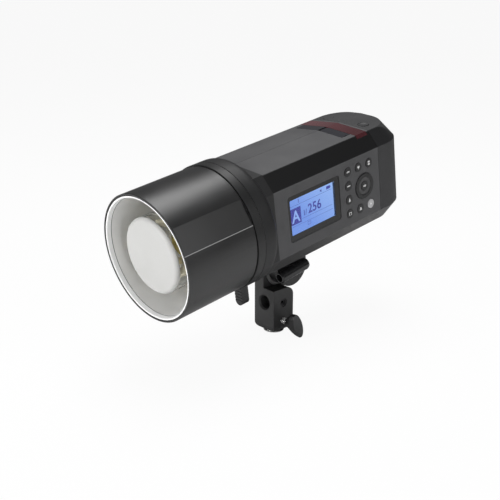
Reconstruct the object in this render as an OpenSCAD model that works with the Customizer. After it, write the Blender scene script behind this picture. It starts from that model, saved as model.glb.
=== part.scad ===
// Monolight strobe on a tilting stand bracket. Millimetres, +Z up.
// The origin is the mouth of the bracket's stand socket. The lamp looks along -Y,
// the control panel faces +X, and the head is pitched nose down on its pivot.

/* [Head pose] */
// Nose-down pitch of the head on the bracket, in degrees
head_pitch = 8; // [0:1:12]
// Height of the optical axis above the tilt pivot
axis_above_pivot = 82.8; // [80:0.1:110]
// Distance from the tilt pivot forward to the reflector seam
seam_ahead = 100.5; // [92:0.5:125]

/* [Body] */
// Width across the flat side panels
body_w = 120; // [112:1:144]
// Height across the top and bottom flats
body_h = 118; // [108:1:142]
// Height of each flat side panel
side_panel_h = 80; // [72:1:90]
// Width of the top and bottom flats
top_flat_w = 90; // [80:1:100]
// Rise of the roof from its edges to the centre seam
roof_crown = 3.8; // [0:0.2:5]
// Length from the reflector seam to the battery seam
body_rear = 217; // [214:1:262]
// Wall thickness of the moulded shells
wall = 2.4; // [2:0.1:3]
// Gap of a loose fit between neighbouring pieces
loose = 0.3; // [0.2:0.05:0.4]
// Radial gap of a running fit round a pin or shaft
running = 0.06; // [0.03:0.01:0.1]

/* [Reflector and collar] */
// Outer radius of the reflector tube
reflector_r = 73; // [70:0.5:88]
// Length of the reflector tube
reflector_l = 94.8; // [80:0.2:114]
// Width of the reflector's rolled rim
reflector_rim = 1.6; // [1.2:0.1:2]
// Wall of the reflector tube behind the rim
reflector_wall = 2.6; // [2.4:0.1:3.4]
// Outer radius of the mounting collar
collar_r = 74.3; // [73:0.1:90]
// Length of the mounting collar
collar_l = 11.3; // [10:0.1:14]
// Outer radius of the glass dome
dome_r = 43.5; // [36:0.5:45]
// How far the dome stands back from the mouth
dome_setback = 6.5; // [4:0.5:12]

/* [Controls] */
// Length and height of the display bezel
bezel_size = [84.5, 54.6]; // [60:0.5:100]
// Length and height of the lit display
display_size = [73, 42]; // [40:0.5:86]
// Diameter of a round key
key_d = 10.9; // [8:0.1:12]
// Spacing of the keys along the panel
key_pitch_y = 18.6; // [16:0.2:20]
// Spacing of the keys up the panel
key_pitch_z = 17.4; // [15:0.2:19]
// Outer diameter of the control dial
dial_d = 31.5; // [28:0.5:32]
// Travel of a key
key_travel = 0.8; // [0.4:0.1:1]

/* [Battery] */
// Depth of the battery pack behind the seam
battery_l = 59; // [50:1:70]
// Plan radius of the battery's rear corners
battery_corner_r = 44; // [36:1:48]
// Diameter of the two round buttons on the battery
battery_button_d = 13; // [10:0.5:14]
// Diameter of a battery cell
cell_d = 18.4; // [17:0.1:18.6]

/* [Stand bracket] */
// Bore of the stand socket and of the cross socket
spigot_d = 16; // [13:0.1:17]
// Width and depth of the bracket block
block_w = 33; // [30:0.5:40]
// Height of the step that the head's lug turns above
step_h = 57.3; // [54:0.5:57.4]
// Height of the tilt pivot above the socket mouth
pivot_h = 82; // [82:0.5:98]
// Distance of the pivot behind the centre of the block
pivot_back = 14; // [10:0.5:17]
// Thickness of the bracket's ear
ear_t = 15; // [12:0.5:18]
// Diameter of the tilt bolt
bolt_d = 10; // [8:0.5:12]
// Diameter of the tilt handle's bar
bar_d = 14.6; // [12:0.2:15]

/* [Hidden] */
$fn = 64;

eps = 0.01;
far = 400;

// Body section
half_w = body_w / 2;
half_h = body_h / 2;
half_side = side_panel_h / 2;
half_flat = top_flat_w / 2;
chamfer_len = norm([half_w - half_flat, half_h - half_side]);
chamfer_nx = (half_h - half_side) / chamfer_len;
chamfer_nz = (half_w - half_flat) / chamfer_len;
chamfer_dist = chamfer_nx * half_w + chamfer_nz * half_side;
roof_slope = roof_crown / half_flat;

// Stations along the head, measured back from the reflector seam
case_front = 42;
bulkhead_t = 3;
bulkhead_rear = collar_l + bulkhead_t;
shoulder_end = collar_l + 22.9;
tongue_l = 8;
lever_y = 31;
lever_pin_z = -50;
lever_tip = -108;
board_t = 1.6;
main_board_y = 132;
fan_t = 11;
frame_t = 5;
sleeve_front = main_board_y + board_t + fan_t + 2;
core_front = sleeve_front + 3;

// Reflector and lamp
mouth_y = -reflector_l;
seam_gap = 0.4;
claw_count = 3;
unlock_turn = 34;
claw_r = 57.2;
hook_r = 60.8;
tab_r = 57.7;
channel_r = 62.5;
flange_t = 3;
rim_depth = 1.2;
flange_bore_r = dome_r + 4;
liner_t = 0.9;
lip_w = 3.2;
lamp_base_t = 3;
lamp_base_y = collar_l - lamp_base_t;
strip_mid_angle = 28.9;
strip_half_angle = 12.2;

// Control panel
panel_x = half_w;
panel_in = half_w - wall;
bezel_y = 104.1;
bezel_z = 0.7;
display_y = 101.8;
display_z = 2;
bezel_corner = 4;
display_corner = 1.5;
key_col = 161.7;
key_row = 26.6;
dial_y = 189.3;
dial_z = 0.6;
key_clear = 0.4;
key_flange = 1.2;
control_board_x = panel_in - 8;
control_board_front = 52;
control_board_rear = 210;
control_board_half_h = 41;
key_foot = panel_in - 4.6;
switch_top = key_foot - key_travel - loose;
dial_foot = control_board_x + board_t + loose;
encoder_bore_r = 9.1;
set_key_d = 11.6;

// Roof inserts
strip_front = 179.7;
strip_rear = 194.3;
red_front = 194.7;
red_rear = 213.5;
strip_half = 38;
red_half = 48;
insert_t = 2.2;
hinge_x = 1.6;
hinge_r = 1.2;
hinge_z = half_h + roof_crown - 2.0;
flap_pin_d = 1;

// Battery
cap_front = body_rear + 0.4;
cap_rear = body_rear + battery_l;
sleeve = [-46, 40, -52, 30];
sleeve_t = 2;
core_gap = 0.5;
button_y = body_rear + 12;
button_x = 28.5;

// Bracket
half_block = block_w / 2;
block_floor = 1.2;
block_round = 9;
block_top_round = 11;
cross_h = 39.1;
wing_h = 16;
wing_wide = 14;
wing_long = 34;
wing_screw_r = 4;
wing_screw_end = half_block + 12.5;
washer_t = 1.5;
ear_in = -half_block + ear_t;
lug_in = ear_in + washer_t + loose;
lug_out = half_block;
lug_r = pivot_h - step_h - 0.5;
ear_top_r = 19.5;
ear_nose_r = 12;
ear_nose_drop = 14;
boss_r = 28.2;
gusset_angle = 30;
bar_x = half_block + bar_d / 2 + loose;
bar_front = 29.5;
bar_back = 16.6;
bar_extra_pitch = 2.8;
wing_turn = 20;
socket_depth = 27.5;
mount_plate_t = 3.4;

// Puts things drawn in the head's own frame on the pitched head
module in_head() {
    translate([0, pivot_back, pivot_h]) rotate([head_pitch, 0, 0])
        translate([0, -seam_ahead, axis_above_pivot]) children();
}

// Extrudes an outline drawn as (X, Z) from y0 to y1
module along_y(y0, y1) {
    translate([0, y1, 0]) rotate([90, 0, 0]) linear_extrude(y1 - y0) children();
}

// Extrudes an outline drawn as (Y, Z) from x0 to x1
module along_x(x0, x1) {
    translate([x0, 0, 0]) rotate([90, 0, 90]) linear_extrude(x1 - x0) children();
}

module rod_x(r, x0, x1, at = [0, 0]) {
    translate([x0, at[0], at[1]]) rotate([0, 90, 0]) cylinder(r = r, h = x1 - x0);
}

module rod_y(r, y0, y1, at = [0, 0]) {
    translate([at[0], y0, at[1]]) rotate([-90, 0, 0]) cylinder(r = r, h = y1 - y0);
}

module rod_z(r, z0, z1, at = [0, 0]) {
    translate([at[0], at[1], z0]) cylinder(r = r, h = z1 - z0);
}

// Turns a profile of (radius, y) points round the optical axis
module turned(points) {
    rotate([-90, 0, 0]) rotate_extrude($fn = 96) polygon(points);
}

module box(x0, x1, y0, y1, z0, z1) {
    translate([x0, y0, z0]) cube([x1 - x0, y1 - y0, z1 - z0]);
}

// Rounded rectangle from square corners and four discs
module round_rect(w, h, r) {
    square([w - 2 * r, h], center = true);
    square([w, h - 2 * r], center = true);
    for (sx = [-1, 1], sz = [-1, 1])
        translate([sx * (w / 2 - r), sz * (h / 2 - r)]) circle(r = r);
}

// Roof height at a distance x from the centre seam
function roof_z(x) = half_h + roof_crown - roof_slope * abs(x);

// Corners of the body section, moved inwards by t on every face
function top_corner(t) =
    let (x = (chamfer_dist - t - chamfer_nz * (half_h + roof_crown - t))
             / (chamfer_nx - chamfer_nz * roof_slope))
    [x, half_h + roof_crown - t - roof_slope * x];
function side_corner(t) =
    [half_w - t, (chamfer_dist - t - chamfer_nx * (half_w - t)) / chamfer_nz];
function low_corner(t) =
    [(chamfer_dist - t - chamfer_nz * (half_h - t)) / chamfer_nx, half_h - t];

module section(t) {
    top = top_corner(t);
    side = side_corner(t);
    low = low_corner(t);
    polygon([
        [0, half_h + roof_crown - t], top, side,
        [side[0], -side[1]], [low[0], -low[1]],
        [-low[0], -low[1]], [-side[0], -side[1]],
        [-side[0], side[1]], [-top[0], top[1]]
    ]);
}

module section_ring(outer, inner) {
    difference() {
        section(outer);
        section(inner);
    }
}

// ---------------------------------------------------------------- bracket

// Ear outline in (Y, Z) about the pivot: a gusset behind, the round top, then a round nose in
// front. The nose and the top meet where their two circles cross.
module ear_outline() {
    r = ear_top_r;
    q = ear_nose_r;
    base = step_h - pivot_h - 5;
    back = half_block - pivot_back;
    front = -half_block - pivot_back;
    gusset = r * [cos(gusset_angle), -sin(gusset_angle)];
    nose = [front + q, -ear_nose_drop];
    d = norm(nose);
    along = (r * r - q * q + d * d) / (2 * d);
    meet = along * nose / d + sqrt(r * r - along * along) * [nose[1], -nose[0]] / d;
    top_end = 360 + atan2(meet[1], meet[0]);
    nose_start = atan2(meet[1] - nose[1], meet[0] - nose[0]);
    polygon(concat(
        [[front, base], [back, base], [back, gusset[1] - (gusset[0] - back) / tan(gusset_angle)]],
        [for (i = [0 : 30]) let (a = -gusset_angle + (top_end + gusset_angle) * i / 30)
            r * [cos(a), sin(a)]],
        [for (i = [1 : 10]) let (a = nose_start + (180 - nose_start) * i / 10)
            nose + q * [cos(a), sin(a)]]
    ));
}

// Side outline of the block in (Y, Z), its round corners drawn as short flats
module block_side() {
    r = block_round;
    t = block_top_round;
    n = 10;
    polygon(concat(
        [[-half_block, step_h]],
        [for (i = [0 : n]) [-half_block + r - r * cos(90 * i / n), block_floor + r - r * sin(90 * i / n)]],
        [for (i = [0 : n]) [half_block - r + r * sin(90 * i / n), block_floor + r - r * cos(90 * i / n)]],
        [for (i = [0 : n]) [half_block - t + t * cos(90 * i / n), step_h - t + t * sin(90 * i / n)]]
    ));
}

// Front outline of the block and its ear in (X, Z)
module block_front() {
    r = block_round;
    translate([-half_block, block_floor + r]) square([block_w, pivot_h + boss_r]);
    translate([-half_block + r, block_floor]) square([block_w - 2 * r, r + eps]);
    for (s = [-1, 1]) translate([s * (half_block - r), block_floor + r]) circle(r = r);
}

module stand_block() {
    color("#2b2b2d")
    difference() {
        intersection() {
            union() {
                along_x(-half_block, half_block) block_side();
                along_x(-half_block, ear_in)
                    translate([pivot_back, pivot_h]) ear_outline();
            }
            along_y(-half_block - 5, far) block_front();
        }
        // Stand socket with its bush seat, closed above
        rod_z(spigot_d / 2, -1, socket_depth);
        rod_z(spigot_d / 2 + 2.5, -1, 11.5);
        // Cross socket for a spigot or umbrella, countersunk at both mouths
        rod_y(spigot_d / 2, -half_block - 1, half_block + 1, [0, cross_h]);
        for (s = [0, 1]) rotate([0, 0, 180 * s])
            translate([0, -half_block - eps, cross_h]) rotate([-90, 0, 0])
                cylinder(r1 = spigot_d / 2 + 1.8, r2 = spigot_d / 2 - 0.45, h = 2.5);
        // Threaded holes of the two clamp screws
        rod_x(4 + running, 0, half_block + 1, [0, wing_h]);
        rod_x(4 + running, 0, half_block + 1, [0, cross_h]);
        rod_x(5.6, half_block - 1.2, half_block + 1, [0, cross_h]);
        // Tilt bolt
        rod_x(bolt_d / 2 + running, -half_block - 1, ear_in + 1, [pivot_back, pivot_h]);
    }
}

module stand_bush() {
    color("#b9bbbd")
    difference() {
        union() {
            rod_z(spigot_d / 2 + 2.44, block_floor - eps, 11.4);
            rod_z(spigot_d / 2 + 4.5, 0, block_floor);
        }
        rod_z(spigot_d / 2, -1, 12);
    }
}

module rosette_washer() {
    color("#c6c8ca")
    difference() {
        along_x(ear_in, ear_in + washer_t) translate([pivot_back, pivot_h]) {
            circle(r = ear_top_r);
            intersection() {
                circle(r = boss_r);
                translate([-boss_r, -lug_r - 0.4]) square([boss_r, lug_r - 4]);
            }
        }
        rod_x(bolt_d / 2 + running, ear_in - 1, ear_in + washer_t + 1, [pivot_back, pivot_h]);
    }
}

module tilt_bolt() {
    color("#9b9da0")
    difference() {
        union() {
            rod_x(bolt_d / 2, -half_block - eps, bar_x + 4, [pivot_back, pivot_h]);
            rod_x(bolt_d * 0.9, -half_block - 6, -half_block, [pivot_back, pivot_h]);
        }
        translate([-half_block - 7, pivot_back, pivot_h]) rotate([0, 90, 0])
            cylinder(d = 7, h = 5, $fn = 6);
    }
}

// Clamp bar drawn along Y through its own pivot
module clamp_bar() {
    r = bar_d / 2;
    e = 1.6;
    difference() {
        rotate([-90, 0, 0]) rotate_extrude() polygon([
            [0, -bar_front], [r - e, -bar_front], [r, -bar_front + e],
            [r, bar_back - 2 * e], [r - e / 2, bar_back - e / 2],
            [r - 2 * e, bar_back], [0, bar_back]
        ]);
        rod_y(r - 2.4, -bar_front - 1, -bar_front + 12);
        rod_x(bolt_d / 2 + running, -far, 4 + loose);
    }
}

module tilt_handle() {
    color("#0c0c0d")
    translate([bar_x, pivot_back, pivot_h])
        rotate([head_pitch + bar_extra_pitch, 0, 0]) clamp_bar();
}

module wing_screw() {
    color("#d6d8da")
    rod_x(wing_screw_r, spigot_d / 2 + 0.6, wing_screw_end, [0, wing_h]);
}

// Oval knob that clamps the stand spigot
module wing_knob() {
    neck_x = half_block + 8;
    knob_x = half_block + 11.5;
    outer_x = half_block + 25.5;
    color("#161617")
    difference() {
        union() {
            rod_x(6.2, neck_x, knob_x + 1, [0, wing_h]);
            translate([0, 0, wing_h]) rotate([wing_turn, 0, 0]) {
                along_x(knob_x, outer_x) wing_outline(wing_wide, wing_long);
                along_x(outer_x, outer_x + 1) wing_outline(wing_wide - 1.6, wing_long - 1.6);
            }
        }
        rod_x(wing_screw_r, neck_x - 1, wing_screw_end, [0, wing_h]);
    }
}

// Flat sides between two half circles, w wide and l long
module wing_outline(w, l) {
    r = w / 2;
    end = [for (a = [0 : 7.5 : 180]) [r * cos(a), l / 2 - r + r * sin(a)]];
    polygon(concat(end, [for (p = end) -p]));
}

module cross_set_screw() {
    color("#48494c")
    difference() {
        rod_x(4, spigot_d / 2 + 0.6, half_block - 2.2, [0, cross_h]);
        translate([half_block - 6, 0, cross_h]) rotate([0, 90, 0])
            cylinder(d = 4.6, h = 6, $fn = 6);
    }
}

// Plate and round lug under the body that the bolt passes through
module tilt_mount() {
    lug_z = -axis_above_pivot;
    color("#3c3d40")
    in_head()
    difference() {
        union() {
            box(lug_in, 30, seam_ahead - 30, seam_ahead + 30,
                -half_h - mount_plate_t, -half_h);
            box(-30, -half_block - 1, seam_ahead - 30, seam_ahead + 30,
                -half_h - mount_plate_t, -half_h);
            box(-30, 30, seam_ahead - 30, seam_ahead + 30, -half_h - 1.2, -half_h);
            rod_x(lug_r, lug_in, lug_out, [seam_ahead, lug_z]);
            box(lug_in, lug_out, seam_ahead - lug_r, seam_ahead + lug_r,
                lug_z, -half_h - eps);
        }
        box(-far, far, 0, far, -half_h, half_h);
        rod_x(bolt_d / 2 + running, lug_in - 1, lug_out + 1, [seam_ahead, lug_z]);
        for (at = mount_screw_places) {
            rod_z(2 + running, -half_h - 5, -half_h + 1, at);
            rod_z(3.7, -half_h - 5, -half_h - 1.8, at);
        }
    }
}

mount_screw_places = [for (x = [-23.5, 23.5], dy = [-24, 24]) [x, seam_ahead + dy]];

module mount_screws() {
    color("#8e9093")
    in_head()
    for (at = mount_screw_places) difference() {
        union() {
            rod_z(2, -half_h - 1.8 - eps, -half_h + wall + 1.6, at);
            rod_z(3.5, -half_h - 3.2, -half_h - 1.8, at);
        }
        translate([at[0], at[1], -half_h - 3.4]) cylinder(d = 2.6, h = 1.2, $fn = 6);
    }
}

// -------------------------------------------------------- reflector, collar

// Bayonet claws on the back of the reflector: a neck with an outward hook
module claws() {
    for (i = [0 : claw_count - 1]) rotate([0, 360 / claw_count * i, 0])
        intersection() {
            union() {
                difference() {
                    rod_y(claw_r, -eps, 6.6);
                    rod_y(claw_r - 3, -1, 8);
                }
                difference() {
                    rod_y(hook_r, 3.8, 6.6);
                    rod_y(claw_r - 3, 3, 8);
                }
            }
            along_y(-1, 8) polygon([[0, 0], [far * sin(14), far], [-far * sin(14), far]]);
        }
}

module reflector_shell() {
    r = reflector_r;
    inner_r = r - reflector_wall;
    step_y = mouth_y + rim_depth;
    color("#3b3b3e")
    in_head() {
        difference() {
            union() {
                turned([
                    [r - reflector_rim, mouth_y], [r - 0.5, mouth_y], [r, mouth_y + 0.5],
                    [r, -0.6], [r - 0.6, 0], [flange_bore_r, 0], [flange_bore_r, -flange_t],
                    [inner_r, -flange_t], [inner_r, step_y], [r - reflector_rim, step_y]
                ]);
                claws();
            }
            // Flat strip along the upper control side
            rotate([0, -strip_mid_angle, 0])
                box(r * cos(strip_half_angle), r + 5, step_y, -1, -far / 4, far / 4);
        }
    }
}

// Bright bowl inside the tube: a flat lip, then a paraboloid back to the flange
module reflector_liner() {
    lip_r = reflector_r - reflector_rim;
    bowl_r = lip_r - lip_w;
    rear_r = flange_bore_r + 2;
    lip_y = mouth_y + 0.4;
    bowl_y = mouth_y + rim_depth;
    steps = 14;
    bowl = [for (i = [0 : steps]) [
        sqrt(bowl_r * bowl_r + (rear_r * rear_r - bowl_r * bowl_r) * i / steps),
        bowl_y + (-flange_t - bowl_y) * i / steps
    ]];
    outside = [for (i = [steps : -1 : 0]) [bowl[i][0] + liner_t, bowl[i][1]]];
    color("#e4e4e2")
    in_head()
    turned(concat([[lip_r, bowl_y], [lip_r, lip_y], [bowl_r + 0.4, lip_y]], bowl, outside));
}

module collar_ring() {
    color("#2d2d30")
    in_head() {
        turned([
            [channel_r, seam_gap], [collar_r - 0.5, seam_gap], [collar_r, seam_gap + 0.5],
            [collar_r, collar_l - 0.4], [collar_r - 0.4, collar_l], [channel_r, collar_l]
        ]);
        // Bayonet tabs, with a gap for each claw beside its locked place
        difference() {
            turned([
                [tab_r, seam_gap], [channel_r + eps, seam_gap],
                [channel_r + eps, 3.2], [tab_r, 3.2]
            ]);
            for (i = [0 : claw_count - 1])
                rotate([0, 360 / claw_count * i + unlock_turn, 0])
                    along_y(-1, 4) polygon([[0, 0], [far * sin(18), far], [-far * sin(18), far]]);
        }
    }
}

// Shoulder between the round collar and the eight-sided body
shoulder_steps = 16;
shoulder_drop = 24.3;
function shoulder_r(t) = collar_r - shoulder_drop * (1 - sqrt(max(0, 1 - pow(t, 9))));

module shoulder() {
    curve = [for (i = [0 : shoulder_steps])
        let (t = sqrt(i / shoulder_steps))
        [shoulder_r(t), collar_l + 0.7 + (shoulder_end - collar_l - 0.7) * t]];
    turned(concat([[0, collar_l], [collar_r - 0.6, collar_l]], curve, [[0, shoulder_end]]));
}

module front_housing() {
    color("#232326")
    in_head()
    difference() {
        union() {
            difference() {
                union() {
                    shoulder();
                    along_y(22, case_front) section(0);
                }
                rod_y(channel_r + 8.5, bulkhead_rear, collar_l + 15.7);
                along_y(bulkhead_rear + 1, case_front + 1) section(wall);
            }
            along_y(case_front - 3, case_front + tongue_l)
                section_ring(wall - eps, wall + 2.4);
            // Ears that carry the lever pin
            for (s = [-1, 1]) translate([s * 9, 0, 0])
                box(-2, 2, lever_y - 5, lever_y + 5, -half_h + 1, -45);
        }
        // The tongue slips inside the case, so it stands clear of the walls
        along_y(case_front, case_front + tongue_l + 1) section_ring(-1, wall + 0.15);
        // Cable hole, lever slot and pin bore
        rod_y(26, collar_l - 1, bulkhead_rear + 1);
        box(-6.6, 6.6, lever_y - 6.2, lever_y + 8, -collar_r - 2, -half_h + 8);
        rod_x(1.5 + running, -20, 20, [lever_y, lever_pin_z]);
        for (z = [-30, 30]) rod_x(1.5 + running, -half_w - 1, -40, [case_front + 4, z]);
    }
}

module release_lever() {
    color("#0e0e0f")
    in_head()
    difference() {
        union() {
            along_y(lever_y - 5.5, lever_y + 5.5) {
                translate([-6, lever_tip + 6]) square([12, lever_pin_z - lever_tip - 6]);
                translate([0, lever_tip + 6]) circle(r = 6);
            }
            rod_x(5.5, -6, 6, [lever_y, lever_pin_z]);
        }
        rod_x(1.5 + running, -8, 8, [lever_y, lever_pin_z]);
        // Thumb grooves across the front face
        for (i = [0 : 5]) rod_x(0.8, -8, 8, [lever_y - 5.9, lever_tip + 7 + 4 * i]);
    }
}

module lever_pin() {
    color("#a8aaac")
    in_head() rod_x(1.5, -11, 11, [lever_y, lever_pin_z]);
}

module lamp_base() {
    color("#d8d8d4")
    in_head()
    difference() {
        rod_y(53, lamp_base_y, collar_l);
        for (s = [-1, 1]) rod_y(3, lamp_base_y - 1, collar_l + 1, [s * 20, -8]);
    }
}

// Cup of glass over the tube, its front disc frosted
module glass_dome() {
    r = dome_r;
    w = 2.2;
    front = mouth_y + dome_setback;
    edge = 5;
    arc = [for (a = [0 : 15 : 90]) [r - edge + edge * sin(a), front + edge - edge * cos(a)]];
    inner = [for (a = [90 : -15 : 0])
        [r - edge + (edge - w) * sin(a), front + edge - (edge - w) * cos(a)]];
    color("#e6e7e4")
    in_head()
    turned(concat(
        [[0, front]], arc, [[r, lamp_base_y], [r - w, lamp_base_y]], inner, [[0, front + w]]
    ));
}

module dome_clip_ring() {
    color("#bcbec0")
    in_head() {
        difference() {
            rod_y(dome_r + 3, lamp_base_y - 3.5, lamp_base_y);
            rod_y(dome_r + 0.15, lamp_base_y - 5, lamp_base_y + 1);
        }
        for (a = [60, 180, 300]) rotate([0, a, 0])
            box(-5, 5, lamp_base_y - 1, lamp_base_y, dome_r + 2.9, dome_r + 8);
    }
}

// Horseshoe tube on two straight legs
module flash_tube() {
    ring_r = 29;
    tube_r = 4.6;
    ring_y = mouth_y + 33;
    gap = 24;
    $fn = 20;
    color("#efe6c4")
    in_head() {
        translate([0, ring_y, 0]) difference() {
            rotate([-90, 0, 0]) rotate_extrude($fn = 60) translate([ring_r, 0]) circle(r = tube_r);
            along_y(-far, far) polygon([
                [0, 0], [-far * sin(gap), -far * cos(gap)], [far * sin(gap), -far * cos(gap)]
            ]);
        }
        for (s = [-1, 1]) translate([s * ring_r * sin(gap), ring_y, -ring_r * cos(gap)]) {
            sphere(r = tube_r);
            rod_y(tube_r, 0, lamp_base_y - 8 - ring_y);
        }
    }
}

module tube_socket() {
    color("#dedbd2")
    in_head()
    difference() {
        turned([
            [0, lamp_base_y - 8], [34, lamp_base_y - 8], [36, lamp_base_y - 6],
            [36, lamp_base_y], [0, lamp_base_y]
        ]);
        rod_y(13 + loose, lamp_base_y - 9, lamp_base_y - 3);
    }
}

// Light-emitting disc on an aluminium post
module modelling_lamp() {
    front = mouth_y + 48;
    color("#e8d37a")
    in_head() {
        rod_y(13, front + 2, lamp_base_y - 3);
        rod_y(15, front, front + 2);
        turned([[0, front - 1.6], [8, front - 1.6], [9, front - 0.6], [9, front], [0, front]]);
    }
}

module heat_sink() {
    depth = 27;
    color("#8f9194")
    in_head() {
        box(-34, 34, bulkhead_rear, bulkhead_rear + 4, -30, 30);
        for (x = [-33 : 6 : 33])
            box(x - 0.9, x + 0.9, bulkhead_rear + 4 - eps, bulkhead_rear + depth, -30, 30);
    }
}

// -------------------------------------------------------------------- case

// The moulded tube of the case between two stations, with the roof cut-outs
module case_tube() {
    difference() {
        along_y(case_front, body_rear) section_ring(0, wall);
        // Centre seam groove
        translate([0, case_front - 1, half_h + roof_crown]) rotate([0, 45, 0])
            translate([-0.35, 0, -0.35]) cube([0.7, body_rear, 0.7]);
        // Seats of the roof inserts
        box(-strip_half - 0.2, strip_half + 0.2, strip_front - 0.2, red_front,
            half_h - wall - 4, half_h + roof_crown + 1);
        box(-red_half - 0.15, red_half + 0.15, red_front - 0.2, red_rear + 0.2,
            half_h - 9, half_h + roof_crown + 1);
        // Cooling slots in the floor
        for (y = [142 : 8 : 198], s = [-1, 1])
            box(s * 24 - 14, s * 24 + 14, y, y + 3, -half_h - 1, -half_h + wall + 1);
        // Tilt mount screws
        for (at = mount_screw_places) rod_z(2 + running, -half_h - 1, -half_h + wall + 1, at);
    }
}

module case_left() {
    color("#3a3a3d")
    in_head()
    difference() {
        intersection() {
            case_tube();
            box(-far, 0, 0, far, -far, far);
        }
        // Cooling slots in the far side
        for (y = [142 : 8 : 198])
            box(-half_w - 1, -half_w + wall + 1, y, y + 3, -22, 22);
        for (at = case_screw_places) {
            rod_x(1.5 + running, -half_w - 1, -half_w + wall + 1, at);
            rod_x(3.1, -half_w - 1, -half_w + 1.2, at);
        }
    }
}

case_screw_places = [for (y = [case_front + 4, body_rear - 2.5], z = [-30, 30]) [y, z]];

module case_screws() {
    color("#505257")
    in_head()
    for (at = case_screw_places) difference() {
        union() {
            rod_x(1.5, -half_w + 1, -half_w + 9, at);
            rod_x(2.9, -half_w - 0.1, -half_w + 1.2, at);
        }
        translate([-half_w - 1, at[0], at[1]]) rotate([0, 90, 0])
            cylinder(d = 2.2, h = 1.8, $fn = 6);
    }
}

function key_place(col, row) =
    [key_col + col * key_pitch_y, key_row - row * key_pitch_z];
key_places = [
    key_place(0, 0), key_place(1, 0), key_place(2, 0), key_place(0, 1),
    key_place(0, 2), key_place(0, 3), key_place(1, 3), key_place(2, 3)
];
board_posts = [[56, 38], [56, -38], [152, 38], [152, -38], [206, 37], [206, -37]];

module case_right() {
    color("#4a4a4e")
    in_head() {
        difference() {
            intersection() {
                case_tube();
                box(0, far, 0, far, -far, far);
            }
            translate([0, bezel_y, bezel_z]) along_x(half_w - wall - 1, half_w + 1)
                round_rect(bezel_size[0] + 0.6, bezel_size[1] + 0.6, bezel_corner);
            for (at = key_places)
                rod_x(key_d / 2 + key_clear, panel_in - 1, half_w + 1, at);
            rod_x(dial_d / 2 + key_clear, panel_in - 1, half_w + 1, [dial_y, dial_z]);
        }
        // Posts that the control board is screwed to
        for (at = board_posts) rod_x(2.6, control_board_x + board_t, panel_in + eps, at);
    }
}

module display_bezel() {
    color("#0a0a0c")
    in_head()
    difference() {
        union() {
            translate([0, bezel_y, bezel_z]) along_x(panel_in - 0.4, half_w - 0.6)
                round_rect(bezel_size[0], bezel_size[1], bezel_corner - 0.3);
            // Hidden lip behind the panel
            translate([0, bezel_y, bezel_z]) along_x(panel_in - 1.6, panel_in - 0.2)
                round_rect(bezel_size[0] + 3, bezel_size[1] + 3, bezel_corner);
        }
        translate([0, display_y, display_z]) along_x(panel_in - 3, half_w)
            round_rect(display_size[0], display_size[1], display_corner);
    }
}

module display_glass() {
    color("#8faef0")
    in_head()
    translate([0, display_y, display_z]) along_x(panel_in - 1.6, half_w - 1)
        round_rect(display_size[0] - 0.2, display_size[1] - 0.2, display_corner - 0.1);
}

module display_module() {
    color("#9fa3a6")
    in_head()
    box(control_board_x + board_t, panel_in - 1.6,
        display_y - 38, display_y + 38, display_z - 23, display_z + 23);
}

module control_board() {
    color("#1f5a38")
    in_head() {
        box(control_board_x, control_board_x + board_t, control_board_front, control_board_rear,
            -control_board_half_h, control_board_half_h);
        // Switch under each key
        for (at = concat(key_places, [[dial_y, dial_z]]))
            rod_x(2.2, control_board_x + board_t - eps, switch_top, at);
    }
}

// A round key at its place, its flange held behind the panel
module key_body(at) {
    in_head() {
        rod_x(key_d / 2, key_foot, half_w + 0.5, at);
        rod_x(key_d / 2 + key_flange, key_foot, panel_in - loose, at);
    }
}

module key_top_left() { color("#111113") key_body(key_places[0]); }
module key_top_middle() { color("#111113") key_body(key_places[1]); }
module key_top_right() { color("#111113") key_body(key_places[2]); }
module key_left_upper() { color("#111113") key_body(key_places[3]); }
module key_left_lower() { color("#111113") key_body(key_places[4]); }
module key_bottom_left() { color("#111113") key_body(key_places[5]); }
module key_bottom_middle() { color("#111113") key_body(key_places[6]); }
module test_key() { color("#d9d9dc") key_body(key_places[7]); }

// Knurled ring with a lower middle and a hollow shaft down to the encoder
module dial_ring() {
    r = dial_d / 2;
    notches = 36;
    color("#0f0f11")
    in_head()
    translate([0, dial_y, dial_z]) rotate([0, 90, 0])
        difference() {
            rotate_extrude() polygon([
                [set_key_d / 2 + 0.4, dial_foot], [encoder_bore_r - running, dial_foot],
                [encoder_bore_r - running, panel_in - 1], [r - 0.6, panel_in - 1],
                [r, panel_in], [r, half_w + 0.8], [r - 0.7, half_w + 1.4],
                [r - 4.6, half_w + 1.4], [r - 5.6, half_w + 0.2],
                [set_key_d / 2 + 0.4, half_w + 0.2]
            ]);
            for (i = [0 : notches - 1]) rotate([0, 0, i * 360 / notches])
                translate([r + 0.25, 0, half_w + 0.1]) cylinder(r = 0.6, h = 2, $fn = 16);
        }
}

module set_key() {
    color("#161618")
    in_head() rod_x(set_key_d / 2, key_foot, half_w + 0.6, [dial_y, dial_z]);
}

module dial_encoder() {
    color("#7b7d80")
    in_head()
    difference() {
        rod_x(encoder_bore_r + 3, control_board_x + board_t, panel_in - 1.4, [dial_y, dial_z]);
        rod_x(encoder_bore_r, control_board_x, panel_in, [dial_y, dial_z]);
    }
}

// ------------------------------------------------------------ roof inserts

module roof_piece(x0, x1, y0, y1) {
    intersection() {
        along_y(y0, y1) section_ring(0, insert_t);
        box(x0, x1, y0 - 1, y1 + 1, half_h - 9, half_h + roof_crown + 1);
    }
}

module sensor_trim() {
    color("#3f3d44")
    in_head() roof_piece(-strip_half, -1.4, strip_front, strip_rear);
}

module red_window() {
    color("#7d3038")
    in_head() roof_piece(-red_half, red_half, red_front + 0.1, red_rear);
}

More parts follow.
